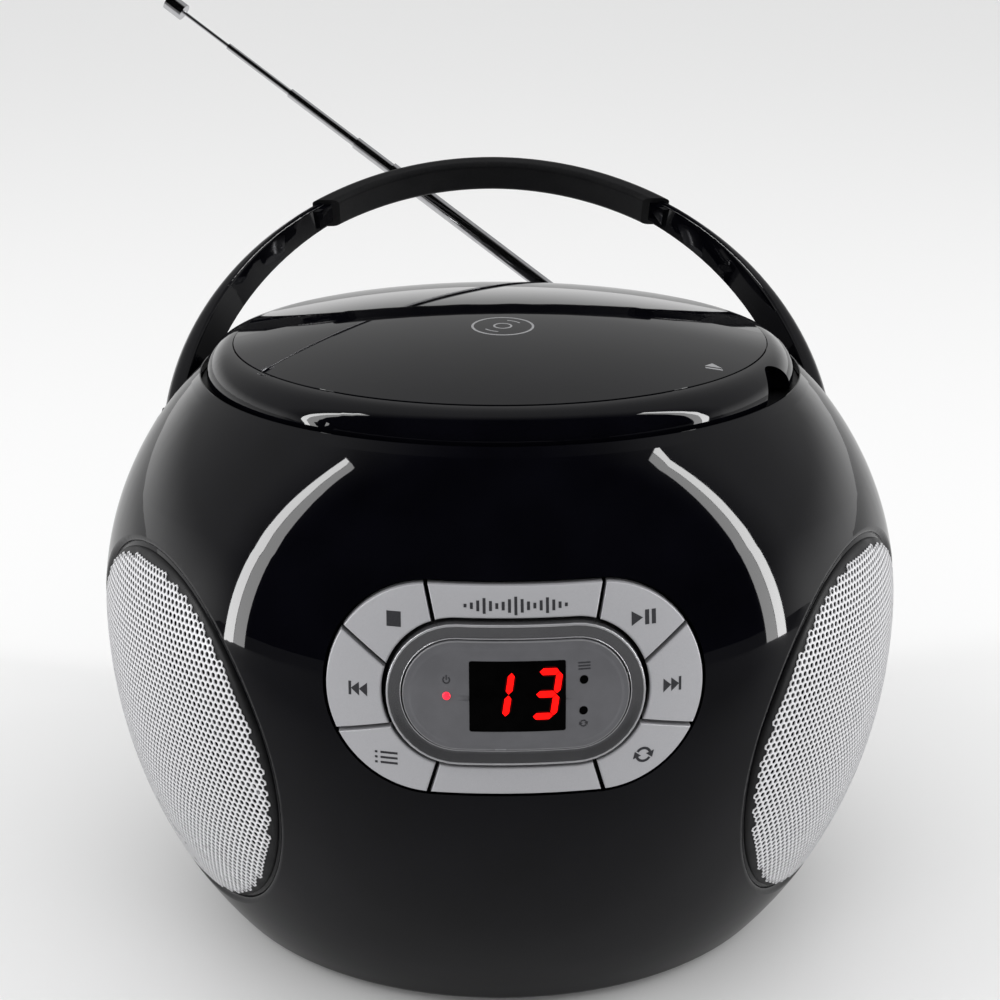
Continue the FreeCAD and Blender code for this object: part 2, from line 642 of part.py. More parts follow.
def make_panel():
    layer = ball(KEY_PROUD).cut(ball(KEY_PROUD - KEY_DEEP))
    outer = racetrack(PANEL_W, PANEL_H, -125, -85)
    inner = racetrack(BEZEL_W + 1.0, BEZEL_H + 1.0, -125, -85)
    ring = layer.common(outer.cut(inner))
    for p, q in DIVIDERS:
        slab = slot_between(p, q)
        ring = ring.cut(slab).cut(mirrored(slab))
    names = {"key_stop": (-29, 15), "key_play_pause": (29, 15), "key_previous": (-37, -1)}
    names.update({"key_next": (37, -1), "key_program": (-28, -17), "key_repeat": (28, -17)})
    spots = []
    for name, (x, z) in names.items():
        cap = min(ring.Solids, key=lambda s: math.hypot(s.CenterOfMass.x - x, s.CenterOfMass.z - PANEL_Z - z))
        at = cap.CenterOfMass
        stem = rod(1.6, SWITCH_Y - KEY_TRAVEL - 0.4 - at.y, V(at.x, at.y, at.z), Y_AXIS)
        save(name, fused([rounded_front(cap, KEY_PROUD), stem]))
        spots.append(V(at.x, 0, at.z))
    trims = []
    for z in (20, -20):
        trim = min(ring.Solids, key=lambda s: math.hypot(s.CenterOfMass.x, s.CenterOfMass.z - PANEL_Z - z))
        trims.append(rounded_front(trim, KEY_PROUD))
    save("panel_trim", Part.makeCompound(trims))
    glass_seat = ball(2.0).cut(ball(-1.6)).common(racetrack(WINDOW_W, WINDOW_H, -125, -80))
    bezel = ball(BEZEL_PROUD).cut(ball(-4.0)).common(racetrack(BEZEL_W, BEZEL_H, -125, -85))
    bezel = bezel.cut(racetrack(WINDOW_W - 0.9, WINDOW_H - 0.9, -125, -80)).cut(glass_seat)
    save("display_bezel", rounded_front(bezel, BEZEL_PROUD))
    window = ball(-0.3).cut(ball(-1.6)).common(racetrack(WINDOW_W - 0.1, WINDOW_H - 0.1, -125, -85))
    save("display_window", window)
    make_panel_inside(spots)


def make_panel_inside(spots):
    module = block(-13.5, 13.5, -100.2, -92.6, PANEL_Z - 10.2, PANEL_Z + 9.0)
    save("led_display", module)
    leds = []
    for x, z in LED_SPOTS:
        leds.append(rod(1.0, 8.5, V(x, -101.0, PANEL_Z + z), Y_AXIS))
    save("indicator_leds", Part.makeCompound(leds))
    board = block(-38, 38, SWITCH_Y + 4.2, SWITCH_Y + 5.8, PANEL_Z - 19, PANEL_Z + 19)
    frame = ball(-4.6).cut(ball(-6.2)).common(racetrack(PANEL_W + 0.8, PANEL_H + 0.8, -125, -80))
    frame = frame.cut(racetrack(BEZEL_W - 3.2, BEZEL_H - 3.2, -125, -80))
    switches = []
    for at in spots:
        y = SWITCH_Y
        switches.append(rod(1.7, 2.0, at + V(0, y, 0), Y_AXIS))
        switches.append(block(at.x - 3, at.x + 3, y + 1.8, y + 4.2, at.z - 3, at.z + 3))
        frame = frame.cut(rod(2.6, 50, at + V(0, -125, 0), Y_AXIS))
    save("key_board", fused([board] + switches))
    save("panel_frame", frame)


# ---------------------------------------------------------------- back panel
def make_back():
    y = BACK_Y
    plate = back_recess(-0.15, y - 3.0, y - 1.0)
    plate = plate.cut(block(-16.5, 16.5, y - 5, y + 1, BACK_Z + 2.5, BACK_Z + 11.5))
    plate = plate.cut(block(-8.5, 8.5, y - 5, y + 1, BACK_Z - 13.5, BACK_Z - 9.5))
    for s in (-1, 1):
        plate = plate.cut(rod(3.4, 8, V(s * KNOB_X, y - 5, BACK_Z), Y_AXIS))
    save("rear_panel", plate.cut(rod(3.45, 8, V(JACK_X, y - 5, BACK_Z - 12.0), Y_AXIS)))
    window = block(-16.4, 16.4, y - 2.2, y - 1.0, BACK_Z + 2.6, BACK_Z + 11.4)
    save("dial_window", window)
    pointer = fused([block(-0.5, 0.5, y - 3.2, y - 2.6, BACK_Z + 3.2, BACK_Z + 10.8),
                     block(-2.5, 2.5, y - 5.2, y - 3.2, BACK_Z + 5.0, BACK_Z + 9.0)])
    save("dial_pointer", pointer)
    for name, s in (("volume_knob", -1), ("tuning_knob", 1)):
        cap = rod(KNOB_R, 6.5, V(s * KNOB_X, y - 0.6, BACK_Z), Y_AXIS)
        cap = cap.makeFillet(0.8, [e for e in cap.Edges if e.BoundBox.YMin > y + 5])
        for i in range(24):
            a = 2 * math.pi * i / 24
            r = KNOB_R + 0.3
            spot = V(s * KNOB_X + r * math.cos(a), y + 0.6, BACK_Z + r * math.sin(a))
            cap = cap.cut(rod(0.6, 6, spot, Y_AXIS))
        stem = rod(3.0, 7.5, V(s * KNOB_X, y - 8.0, BACK_Z), Y_AXIS)
        save(name, fused([cap, stem]))
    slider = fused([block(-2.4, 2.4, y - 4.5, y + 2.2, BACK_Z - 13.2, BACK_Z - 9.8),
                    block(-10.5, 10.5, y - 4.9, y - 3.4, BACK_Z - 14.5, BACK_Z - 8.5)])
    save("function_slider", slider)
    make_back_inside()


def make_back_inside():
    y = BACK_Y
    case = block(KNOB_X - 10, KNOB_X + 10, y - 22, y - 8.6, BACK_Z - 10, BACK_Z + 10)
    pot = rod(8.0, 9, V(-KNOB_X, y - 17.6, BACK_Z), Y_AXIS)
    board = block(-42, 42, y - 24.0, y - 22.4, BACK_Z - 12, BACK_Z + 12)
    pot = pot.fuse(block(-KNOB_X - 2, -KNOB_X + 2, y - 22.4, y - 17.6, BACK_Z - 2, BACK_Z + 2))
    case = case.fuse(block(KNOB_X - 8, KNOB_X + 8, y - 22.4, y - 22.0, BACK_Z - 8, BACK_Z + 8))
    save("tuner_board", fused([board, pot, case]))
    shell_y = 94.5
    inlet = block(-13.4, 13.4, shell_y - 16, shell_y + 3.5, -61.4, -44.6)
    well = racetrack(9.4, 4.6, shell_y - 8, shell_y + 10, -53.0)
    pins = [rod(1.15, 8.0, V(s * 4.3, shell_y - 10, -53.0), Y_AXIS) for s in (-1, 1)]
    save("mains_inlet", fused([inlet.cut(well)] + pins))
    board = block(-42, 42, -50, 34, -50.0, -48.4)
    parts = [rod(5.0, 14, V(-30, 10, -48.4)), rod(4.0, 11, V(-16, 22, -48.4)), rod(4.0, 11, V(30, 16, -48.4))]
    chip = block(-10, 10, -14, -4, -48.4, -46.0)
    sink = block(14, 34, -40, -37.5, -48.4, -38.0)
    save("main_board", fused([board, chip, sink] + parts))
    core = block(-21, 21, 38.5, 62.0, -81.0, -50.5)
    coil = soft_block(-14, 14, 35.4, 65.0, -77.0, -54.5, 2.0)
    save("transformer", fused([core, coil]))


def make_jack():
    """Headphone socket, seated flat in the back panel's lower edge."""
    y = BACK_Y
    body = block(JACK_X - 5.0, JACK_X + 5.0, y - 17.0, y - 3.0, BACK_Z - 17.0, BACK_Z - 7.0)
    nose = rod(3.4, 3.0, V(JACK_X, y - 3.0, BACK_Z - 12.0), Y_AXIS)
    jack = fused([body, nose]).cut(rod(JACK_BORE, 14.0, V(JACK_X, y - 14.0, BACK_Z - 12.0), Y_AXIS))
    save("audio_jack", jack)


# ---------------------------------------------------------------- antenna
def antenna_axis():
    return (ANT_TIP - V(ANT_X, ANT_Y, ANT_Z)).normalize()


def make_antenna():
    at = V(ANT_X, ANT_Y, ANT_Z)
    along = antenna_axis()
    level = V(along.x, along.y, 0).normalize()
    cross = V(-level.y, level.x, 0)
    stem = rod(2.49, 13.0, V(ANT_X, ANT_Y, 16.4))
    foot = rod(5.8, 1.7, V(ANT_X, ANT_Y, 29.3))
    ears = []
    for s in (-1, 1):
        start = at + cross * (s * 2.1 if s > 0 else -4.0)
        ears.append(rod(3.4, 1.9, start, cross))
        ear = Part.makeBox(6.4, 1.9, 3.6, V(-3.2, -0.95, 0))
        ear.Placement = FreeCAD.Placement(at + cross * (s * 3.05) + V(0, 0, -3.6),
                                          FreeCAD.Rotation(X_AXIS, level))
        ears.append(ear)
    pin = rod(1.2, 8.0, at - cross * 4.0, cross)
    save("antenna_base", fused([stem, foot, pin] + ears))
    sections = []
    for i, r in enumerate(TUBE_R):
        top = TUBE_TOP[i]
        start = top - TUBE_LEN[i]
        last = i == len(TUBE_R) - 1
        body = rod(r, TUBE_LEN[i], at + along * start, along)
        if not last:
            body = body.cut(rod(TUBE_R[i + 1] + 0.06, TUBE_LEN[i], at + along * start, along))
        sections.append(body)
    tongue = fused([rod(3.2, 3.6, at - cross * 1.8, cross), rod(1.75, 9.0, at, along)])
    neck = rod(TUBE_R[0], 4.2, at + along * 7.8, along)
    side = tongue.cut(rod(1.26, 10, at - cross * 5, cross))
    side = side.common(slab_across(at, cross, 1.8))
    knuckle = fused([side, neck])
    sections[0] = fused([sections[0], knuckle])
    cap = rod(2.7, 6.3, at + along * TUBE_TOP[-1], along)
    sections[-1] = fused([sections[-1], cap])
    for i, s in enumerate(sections):
        save("antenna_tube_" + str(i + 1), s)


def antenna_groove(lower):
    """Clearance for the outer tube where it leaves its recess, at rest or tilted lower in degrees."""
    along = antenna_axis()
    level = V(along.x, along.y, 0).normalize()
    tilt = math.atan2(along.z, math.hypot(along.x, along.y)) - math.radians(lower)
    aim = level * math.cos(tilt) + V(0, 0, math.sin(tilt))
    return rod(3.3, 34.0, V(ANT_X, ANT_Y, ANT_Z), aim)


def slab_across(at, cross, half_width):
    """A thick slab through the tilt axis, square to it."""
    return rod(60.0, 2 * half_width, at - cross * half_width, cross)


# ---------------------------------------------------------------- pickup drive
def make_drive():
    pitch_y = -ROD_Y - 3.0 - 0.85 * MODULE
    wheel_r = GEAR_TEETH * MODULE / 2
    at = V(SLED_X, pitch_y - wheel_r, ROD_Z - 2.4)
    phase = math.pi / 2 + math.pi / GEAR_TEETH
    wheel = gear(GEAR_TEETH, MODULE, 2.0, 1.56, at, Z_AXIS, phase)
    save("sled_gear", wheel)
    pinion_r = PINION_TEETH * MODULE / 2
    spot = at + V(-(wheel_r + pinion_r), 0, 0)
    pinion = gear(PINION_TEETH, MODULE, 2.0, 0.5, spot, Z_AXIS, math.pi / PINION_TEETH)
    save("motor_pinion", pinion.fuse(rod(0.8, 6.0, spot - V(0, 0, 4.0))))
    post = rod(1.5, 8.4, V(at.x, at.y, 40.0))
    motor = tube(7.0, 0.86, 4.6, V(spot.x, spot.y, 41.0))
    save("sled_motor", Part.makeCompound([motor, post]))


os.makedirs("parts", exist_ok=True)
SHELL = hollow_ball()
make_front_shell(SHELL)
make_rear_shell(SHELL)
make_base()
make_battery_bay()
make_deck()
make_lid()
make_mechanism()
make_drive()
make_speakers()
make_panel()
make_back()
make_jack()
make_handle()
make_antenna()
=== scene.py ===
import json
import math

import bmesh
import bpy
import numpy as np
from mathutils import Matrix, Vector


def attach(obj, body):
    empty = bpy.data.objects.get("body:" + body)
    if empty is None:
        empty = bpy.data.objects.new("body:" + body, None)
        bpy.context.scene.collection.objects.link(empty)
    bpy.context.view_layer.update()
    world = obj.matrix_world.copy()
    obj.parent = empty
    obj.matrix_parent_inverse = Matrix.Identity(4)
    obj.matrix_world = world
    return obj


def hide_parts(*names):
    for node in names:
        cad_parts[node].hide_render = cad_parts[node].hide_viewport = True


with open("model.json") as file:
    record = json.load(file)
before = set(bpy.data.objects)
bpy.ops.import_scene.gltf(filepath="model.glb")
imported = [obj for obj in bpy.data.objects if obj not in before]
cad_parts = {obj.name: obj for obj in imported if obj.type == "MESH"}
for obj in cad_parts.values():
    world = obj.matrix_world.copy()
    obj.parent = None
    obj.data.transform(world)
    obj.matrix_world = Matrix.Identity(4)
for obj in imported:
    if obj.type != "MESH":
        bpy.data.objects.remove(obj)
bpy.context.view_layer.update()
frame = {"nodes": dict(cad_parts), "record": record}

NODES = frame["nodes"]
MM = 0.001

# ---------------------------------------------------------------- sizes
# millimetres, measured from the ball's centre
CENTRE_HEIGHT = 86.5
BALL_R = 110.0
UPPER_C, UPPER_N = 95.8, 2.04
LOWER_C, LOWER_N = 122.6, 2.05

SPEAKER_AZIMUTH, SPEAKER_TILT = 59.0, -10.0
SHEET_R, SHEET_THICK, SHEET_OFF = 47.4, 0.25, -0.1     # perforated sheet of each grille
HOLE_PITCH, HOLE_R = 1.74, 0.66
INSIDE, OUTSIDE, HALVINGS = 60.0, 130.0, 40            # search for the ball's surface along an axis
RIM_SIDES = 160
# radius and height above the ball, round the section of the rim that frames each grille
GRILLE_RIM = ((44.0, -1.00), (45.0, -0.50), (47.2, -0.50), (47.7, -0.62),
              (48.0, -0.90), (48.0, -1.30), (44.0, -1.30))

PANEL_Z = 14.3
KEY_PROUD = 0.6
BEZEL_W, BEZEL_H = 30.1, 16.4
WINDOW_W, WINDOW_H, WINDOW_FACE = 26.3, 12.7, 1.42
PRINT = 0.05              # how far printed marks stand off a surface
PRINT_ROOT = -0.03        # how far their roots go below it
MARK_STRIP = 2.0          # widest strip of a mark that follows a curved surface

DISC_R, DISC_EDGE_Z, DOME_RISE = 72.0, 73.2, 8.0
DOME_R = (DISC_R ** 2 + DOME_RISE ** 2) / (2 * DOME_RISE)
EJECT_R, EJECT_AZIMUTH = 67.0, -38.5     # place of the lid's eject mark
DISC_MARK_Y = -20.5

BACK_FACE_Y = 99.0        # outer face of the back control panel
BACK_Z, KNOB_X, KNOB_R = 4.0, 31.0, 8.6
DIAL_LEFT, DIAL_STEP, DIAL_LINES = -15.5, 1.3, 25
DIAL_NUMBERS = ("88", "92", "96", "100", "104", "108")
NUMBER_LEFT, NUMBER_STEP, NUMBER_V, NUMBER_SIZE = -13.0, 5.2, 9.4, 2.0

# camera, in metres and degrees: a guess at where the photograph was taken from
VIEW_DISTANCE = 0.55
VIEW_AZIMUTH, VIEW_ELEVATION = -2.0, 20.57
LENS_MM = 69.5
SHIFT_UP = 0.0879


def to_world(p):
    return (p[0] * MM, p[1] * MM, (p[2] + CENTRE_HEIGHT) * MM)


def ball_radius(z, off=0.0):
    """Radius of the body at height z, for a surface moved outwards by off."""
    c, n = (UPPER_C, UPPER_N) if z >= 0 else (LOWER_C, LOWER_N)
    return (BALL_R + off) * (1 - (abs(z) / (c + off)) ** n) ** (1 / n)


def front_point(x, z, off):
    r = ball_radius(z, off)
    return (x, -math.sqrt(r * r - x * x), z)


# ---------------------------------------------------------------- materials
def node_material(name):
    m = bpy.data.materials.new(name)
    m.use_nodes = True
    return m, m.node_tree.nodes, m.node_tree.links, m.node_tree.nodes["Principled BSDF"]


def noise(nodes, links, scale, detail):
    """Noise in the object's own coordinates, which are the frame's metres."""
    coord = nodes.new("ShaderNodeTexCoord")
    tex = nodes.new("ShaderNodeTexNoise")
    tex.inputs["Scale"].default_value = scale
    tex.inputs["Detail"].default_value = detail
    links.new(coord.outputs["Object"], tex.inputs["Vector"])
    return tex


def ramp(nodes, links, source, low, high):
    """Blend from low to high over the middle of a noise's range."""
    r = nodes.new("ShaderNodeValToRGB")
    r.color_ramp.elements[0].position = 0.3
    r.color_ramp.elements[1].position = 0.7
    r.color_ramp.elements[0].color = low
    r.color_ramp.elements[1].color = high
    links.new(source, r.inputs["Fac"])
    return r


def smooth_range(nodes, links, source, from_values, to_values):
    """A smooth step between two values as the source crosses a range."""
    r = nodes.new("ShaderNodeMapRange")
    r.interpolation_type = "SMOOTHSTEP"
    r.inputs["From Min"].default_value, r.inputs["From Max"].default_value = from_values
    r.inputs["To Min"].default_value, r.inputs["To Max"].default_value = to_values
    links.new(source, r.inputs["Value"])
    return r.outputs["Result"]


def seen_or_reflected(nodes, links, seen, reflected, target):
    """Stage only: one value where a thing is seen or lights the scene, another in reflections."""
    path = nodes.new("ShaderNodeLightPath")
    mix = nodes.new("ShaderNodeMix")
    links.new(path.outputs["Is Glossy Ray"], mix.inputs["Factor"])
    mix.inputs["A"].default_value = seen
    links.new(reflected, mix.inputs["B"])
    links.new(mix.outputs["Result"], target)


def grey(v):
    return (v, v, v, 1.0)


def surface(name, dark, light, rough, metallic=0.0, ior=1.5, coat=0.0, coat_rough=0.03,
            grain=900.0, bump=0.0, bump_scale=2500.0, glow=0.0):
    """A finish whose colour and roughness vary a little over the surface; some have a fine bump."""
    m, nodes, links, p = node_material(name)
    p.inputs["Metallic"].default_value = metallic
    p.inputs["IOR"].default_value = ior
    p.inputs["Coat Weight"].default_value = coat
    p.inputs["Coat Roughness"].default_value = coat_rough
    tex = noise(nodes, links, grain, 4.0)
    colour = ramp(nodes, links, tex.outputs["Fac"], (*dark, 1.0), (*light, 1.0))
    links.new(colour.outputs["Color"], p.inputs["Base Color"])
    soft = noise(nodes, links, grain * 0.12, 2.0)
    rr = ramp(nodes, links, soft.outputs["Fac"], grey(rough[0]), grey(rough[1]))
    links.new(rr.outputs["Color"], p.inputs["Roughness"])
    if glow:
        p.inputs["Emission Color"].default_value = (*light, 1.0)
        p.inputs["Emission Strength"].default_value = glow
    if bump:
        fine = noise(nodes, links, bump_scale, 2.0)
        b = nodes.new("ShaderNodeBump")
        b.inputs["Strength"].default_value = bump
        b.inputs["Distance"].default_value = 0.0001
        links.new(fine.outputs["Fac"], b.inputs["Height"])
        links.new(b.outputs["Normal"], p.inputs["Normal"])
    return m


FINISHES = {
    "gloss_black": dict(
        dark=(0.0010, 0.0010, 0.0018), light=(0.0018, 0.0018, 0.0030), rough=(0.015, 0.04),
        ior=1.42, grain=60.0),
    "matte_black": dict(
        dark=(0.004, 0.004, 0.005), light=(0.009, 0.009, 0.010), rough=(0.38, 0.50),
        ior=1.42, grain=1500.0, bump=0.22, bump_scale=4500.0),
    "silver_key": dict(
        dark=(0.40, 0.40, 0.42), light=(0.47, 0.47, 0.49), rough=(0.34, 0.42),
        metallic=0.25, grain=7000.0, coat=0.5, coat_rough=0.08, bump=0.08, bump_scale=9000.0),
    "grille_metal": dict(
        dark=(0.74, 0.74, 0.76), light=(0.84, 0.84, 0.86), rough=(0.25, 0.33),
        metallic=0.25, grain=1500.0),
    "bezel_grey": dict(
        dark=(0.20, 0.20, 0.21), light=(0.22, 0.22, 0.23), rough=(0.16, 0.22),
        metallic=0.8, grain=200.0, coat=0.4, coat_rough=0.06),
    "smoke_window": dict(
        dark=(0.125, 0.125, 0.134), light=(0.14, 0.14, 0.150), rough=(0.12, 0.20),
        metallic=0.25, grain=200.0),
    "red_led": dict(
        dark=(0.5, 0.001, 0.001), light=(1.0, 0.004, 0.003), rough=(0.5, 0.6), ior=1.1, glow=1.6),
    "chrome": dict(
        dark=(0.62, 0.62, 0.64), light=(0.72, 0.72, 0.74), rough=(0.07, 0.11),
        metallic=1.0, grain=500.0),
    "steel": dict(
        dark=(0.38, 0.38, 0.40), light=(0.55, 0.55, 0.57), rough=(0.25, 0.40),
        metallic=0.9, grain=1200.0),
    "rubber": dict(
        dark=(0.012, 0.012, 0.012), light=(0.022, 0.022, 0.022), rough=(0.7, 0.85),
        grain=1500.0, bump=0.3),
    "pcb_green": dict(
        dark=(0.01, 0.09, 0.035), light=(0.02, 0.15, 0.06), rough=(0.3, 0.45), grain=700.0),
    "cone_black": dict(
        dark=(0.008, 0.008, 0.008), light=(0.02, 0.02, 0.02), rough=(0.6, 0.8),
        grain=1500.0, bump=0.4),
    "white_plastic": dict(
        dark=(0.60, 0.60, 0.57), light=(0.70, 0.70, 0.67), rough=(0.35, 0.5)),
    # these are only on the pieces made below
    "print_dark": dict(
        dark=(0.018, 0.018, 0.022), light=(0.032, 0.032, 0.038), rough=(0.45, 0.6), grain=4000.0),
    "print_pale": dict(
        dark=(0.26, 0.26, 0.27), light=(0.34, 0.34, 0.35), rough=(0.45, 0.6), grain=4000.0),
    "display_black": dict(
        dark=(0.0004, 0.0004, 0.0004), light=(0.0010, 0.0010, 0.0010), rough=(0.35, 0.45),
        ior=1.12, grain=300.0),
    # painted glow: a dim red emitting fringe round the lit digits, standing in for their bloom where
    # there is no lamp
    "digit_halo": dict(
        dark=(0.010, 0.0001, 0.0001), light=(0.022, 0.0001, 0.0001), rough=(0.5, 0.6),
        ior=1.1, glow=1.5),
    "power_red": dict(
        dark=(0.8, 0.01, 0.03), light=(1.0, 0.03, 0.06), rough=(0.10, 0.18), glow=0.7),
    # painted highlight: a paler, shinier copy of the bezel's grey, laid on its rims as bright lines
    "painted_highlight_grey": dict(
        dark=(0.50, 0.50, 0.52), light=(0.58, 0.58, 0.60), rough=(0.18, 0.25),
        metallic=0.6, grain=300.0),
    # painted highlight: a lighter copy of the window's smoke grey, laid round the glass's edge as a
    # bright line
    "window_painted_highlight": dict(
        dark=(0.24, 0.24, 0.25), light=(0.28, 0.28, 0.29), rough=(0.2, 0.3),
        metallic=0.4, grain=300.0),
}
MAT = {name: surface(name, **finish) for name, finish in FINISHES.items()}


def paint(obj, mat):
    obj.data.materials.clear()
    obj.data.materials.append(mat)


def paint_nodes():
    slots = {s["node"]: s["material_slot"] for s in frame["record"]["subparts"]}
    for name, obj in NODES.items():
        paint(obj, MAT[slots[name]])


# ---------------------------------------------------------------- mesh helpers
def new_piece(name, mesh, body, mat):
    obj = bpy.data.objects.new(name, mesh)
    bpy.context.scene.collection.objects.link(obj)
    paint(obj, mat)
    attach(obj, body)
    return obj


def mesh_from(verts, faces, name, sharp_deg=35.0):
    """A mesh from millimetre points about the ball's centre, smooth except at creases."""
    mesh = bpy.data.meshes.new(name)
    mesh.from_pydata([to_world(v) for v in verts], [], faces)
    return creased(mesh, sharp_deg)


def creased(mesh, sharp_deg=35.0):
    bm = bmesh.new()
    bm.from_mesh(mesh)
    limit = math.radians(sharp_deg)
    for f in bm.faces:
        f.smooth = True
    for e in bm.edges:
        e.smooth = len(e.link_faces) == 2 and e.calc_face_angle(0.0) < limit
    bm.to_mesh(mesh)
    bm.free()
    return mesh


def resmoothed(name, body, slot):
    """The surface of a CAD node, with its vertices joined and its shading worked out afresh."""
    bm = bmesh.new()
    bm.from_mesh(NODES[name].data)
    bmesh.ops.remove_doubles(bm, verts=bm.verts, dist=1e-6)
    bm.verts.index_update()
    fresh = bpy.data.meshes.new(name + "_smooth")
    faces = [[v.index for v in f.verts] for f in bm.faces]
    fresh.from_pydata([v.co[:] for v in bm.verts], [], faces)
    bm.free()
    piece = new_piece(name + "_smooth", creased(fresh, 30.0), body, MAT[slot])
    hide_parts(name)


def cut_plates(loops):
    """Flat faces filling closed (u, v) outlines, cut into strips so that they can follow a curve."""
    bm = bmesh.new()
    for loop in loops:
        bm.faces.new([bm.verts.new((u, v, 0.0)) for u, v in loop])
    us = [v.co.x for v in bm.verts]
    vs = [v.co.y for v in bm.verts]
    across, up = Vector((1, 0, 0)), Vector((0, 1, 0))
    for axis, low, high in ((across, min(us), max(us)), (up, min(vs), max(vs))):
        count = int((high - low) / MARK_STRIP)
        for i in range(1, count + 1):
            at = low + (high - low) * i / (count + 1)
            geom = bm.verts[:] + bm.edges[:] + bm.faces[:]
            bmesh.ops.bisect_plane(bm, geom=geom, plane_co=axis * at, plane_no=axis)
    for f in bm.faces:
        if f.normal.z < 0:
            f.normal_flip()
    bm.verts.index_update()
    flat = [(v.co.x, v.co.y) for v in bm.verts]
    faces = [[v.index for v in f.verts] for f in bm.faces]
    bm.free()
    return flat, faces


def printed(name, loops, place, body, mat, low=PRINT_ROOT, high=PRINT):
    """A thin raised mark: outlines in (u, v), laid on a surface by place(u, v, off)."""
    flat, faces = cut_plates(loops)
    n = len(flat)
    verts = [place(u, v, high) for u, v in flat] + [place(u, v, low) for u, v in flat]
    edges = [edge for f in faces for edge in zip(f, f[1:] + f[:1])]
    known = set(edges)
    rim = [(a, b) for a, b in edges if (b, a) not in known]
    out = faces + [[i + n for i in reversed(f)] for f in faces]
    out += [[b, a, a + n, b + n] for a, b in rim]
    return new_piece(name, mesh_from(verts, out, name), body, mat)


def rect(u0, u1, v0, v1):
    return [(u0, v0), (u1, v0), (u1, v1), (u0, v1)]


def round_rect(u0, u1, v0, v1, r):
    out = []
    steps = 5
    corners = ((u1 - r, v1 - r, 0), (u0 + r, v1 - r, 90), (u0 + r, v0 + r, 180), (u1 - r, v0 + r, 270))
    for cu, cv, start in corners:
        for k in range(steps + 1):
            a = math.radians(start + 90 * k / steps)
            out.append((cu + r * math.cos(a), cv + r * math.sin(a)))
    return out


def round_point(u, v, r, angle):
    return (u + r * math.cos(angle), v + r * math.sin(angle))


def circle(u, v, r, sides=28):
    return [round_point(u, v, r, 2 * math.pi * k / sides) for k in range(sides)]


def arc_band(u, v, r0, r1, start, end, steps=20):
    """Quads round part of a circle, angles in degrees."""
    quads = []
    for k in range(steps):
        a, b = (math.radians(start + (end - start) * j / steps) for j in (k, k + 1))
        quads.append([round_point(u, v, r, t) for r, t in ((r1, a), (r1, b), (r0, b), (r0, a))])
    return quads


def on_front(u, v, off):
    return front_point(u, PANEL_Z + v, off)


def on_keys(u, v, off):
    return on_front(u, v, KEY_PROUD + off)


# ---------------------------------------------------------------- speaker grilles
def speaker_axes(side):
    """Directions across, up and out of one speaker's face."""
    az, el = math.radians(SPEAKER_AZIMUTH), math.radians(SPEAKER_TILT)
    a = Vector((side * math.sin(az) * math.cos(el), -math.cos(az) * math.cos(el), math.sin(el)))
    u = a.cross(Vector((0, 0, 1))).normalized() * -1
    return u, a.cross(u) * (1 if a.cross(u).z > 0 else -1), a


def on_ball_along(flat, axes, off):
    """Slide points of the speaker's (u, v) plane along its axis until they meet the body."""
    u, v, a = (np.array(w) for w in axes)
    base = flat[:, :1] * u + flat[:, 1:] * v
    low, high = np.full(len(flat), INSIDE), np.full(len(flat), OUTSIDE)
    for _ in range(HALVINGS):
        mid = (low + high) / 2
        p = base + mid[:, None] * a
        z = p[:, 2]
        c = np.where(z >= 0, UPPER_C, LOWER_C) + off
        n = np.where(z >= 0, UPPER_N, LOWER_N)
        inside = np.clip(1 - (np.abs(z) / c) ** n, 0.0, 1.0) ** (1 / n) * (BALL_R + off)
        out = np.hypot(p[:, 0], p[:, 1]) > inside
        high = np.where(out, mid, high)
        low = np.where(out, low, mid)
    return base + low[:, None] * a


def perforated_sheet():
    """Flat sheet of six-sided cells with round holes: its points, faces, and edges that need walls."""
    corner = HOLE_PITCH / math.sqrt(3)
    row = HOLE_PITCH * math.sqrt(3) / 2
    points, index, faces, walls, used = [], {}, [], [], set()
    turns = [math.radians(30 * k + 30) for k in range(12)]

    def add(x, y):
        key = (round(x, 3), round(y, 3))
        if key not in index:
            index[key] = len(points)
            points.append((x, y))
        return index[key]

    reach = int(SHEET_R / row) + 1
    for j in range(-reach, reach + 1):
        for i in range(-reach, reach + 1):
            x, y = (i + (j % 2) / 2) * HOLE_PITCH, j * row
            if math.hypot(x, y) > SHEET_R - corner:
                continue
            outer = [add(x + corner * math.cos(a), y + corner * math.sin(a)) for a in turns[::2]]
            ring = list(range(len(points), len(points) + 12))
            points.extend((x + HOLE_R * math.cos(a), y + HOLE_R * math.sin(a)) for a in turns)
            for k in range(6):
                p, q = outer[k], outer[(k + 1) % 6]
                faces.append([p, q, ring[(2 * k + 2) % 12], ring[2 * k + 1], ring[2 * k]])
                used.add((p, q))
            walls += [(ring[k], ring[(k + 1) % 12]) for k in range(12)]
    walls += [(q, p) for p, q in sorted(used) if (q, p) not in used]
    return points, faces, walls


def make_grilles():
    points, faces, walls = perforated_sheet()
    flat = np.array(points)
    n = len(points)
    for side, name in ((-1, "left"), (1, "right")):
        axes = speaker_axes(side)
        verts = []
        for off in (SHEET_OFF, SHEET_OFF - SHEET_THICK):
            verts += [tuple(p) for p in on_ball_along(flat, axes, off)]
        out = faces + [[i + n for i in reversed(f)] for f in faces]
        out += [[a, b, b + n, a + n] for a, b in walls]
        mesh = fix_normals(mesh_from(verts, out, "grille_mesh_" + name, 40.0))
        piece = new_piece("perforated_grille_" + name, mesh, "root", MAT["grille_metal"])
        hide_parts("speaker_grille_" + name)
        make_grille_rim(axes, "grille_rim_" + name)


